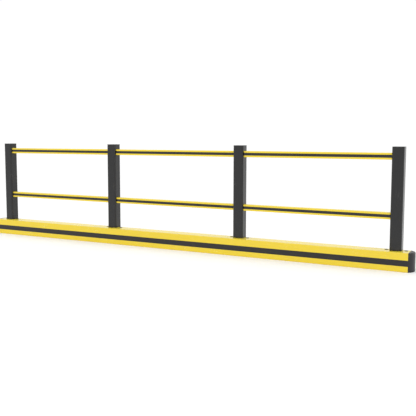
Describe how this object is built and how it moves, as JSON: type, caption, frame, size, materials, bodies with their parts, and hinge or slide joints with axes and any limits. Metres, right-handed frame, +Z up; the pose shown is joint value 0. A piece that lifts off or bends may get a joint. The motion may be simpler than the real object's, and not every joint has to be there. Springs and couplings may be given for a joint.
{
  "type": "industrial guard rail",
  "caption": "Free-standing pedestrian guard rail: black square posts on a striped yellow kerb rail, with yellow square rails above, made to be anchored to the floor.",
  "frame": {"origin": "floor level, under the middle of the length and of the kerb's depth", "axes": "+X along the rail, -Y towards the striped front, +Z up"},
  "size_m": [4.956, 0.177, 1.1],
  "materials": {
    "yellow_polymer": "smooth extruded polymer, semi-gloss",
    "black_stripe": "satin extruded strip",
    "black_post": "satin extruded polymer with fine die lines",
    "black_cap": "moulded polymer, fine texture",
    "zinc_steel": "zinc plated steel",
    "screw_steel": "zinc plated button head screw"
  },
  "bodies": {
    "root": {"kerb_rail": "yellow_polymer", "kerb_stripe": "black_stripe", "kerb_end_cap_left": "black_cap", "kerb_end_cap_right": "black_cap", "post_1": "black_post", "post_cap_1": "black_cap", "post_foot_1": "zinc_steel", "post_2": "black_post", "post_cap_2": "black_cap", "post_foot_2": "zinc_steel", "post_3": "black_post", "post_cap_3": "black_cap", "post_foot_3": "zinc_steel", "post_4": "black_post", "post_cap_4": "black_cap", "post_foot_4": "zinc_steel", "top_rail_1": "yellow_polymer", "top_rail_stripe_1": "black_stripe", "top_rail_2": "yellow_polymer", "top_rail_stripe_2": "black_stripe", "top_rail_3": "yellow_polymer", "top_rail_stripe_3": "black_stripe", "mid_rail_1": "yellow_polymer", "mid_rail_stripe_1": "black_stripe", "mid_rail_2": "yellow_polymer", "mid_rail_stripe_2": "black_stripe", "mid_rail_3": "yellow_polymer", "mid_rail_stripe_3": "black_stripe", "anchor_cover_plugs": "black_cap", "post_locking_screws": "screw_steel"}
  },
  "joints": []
}
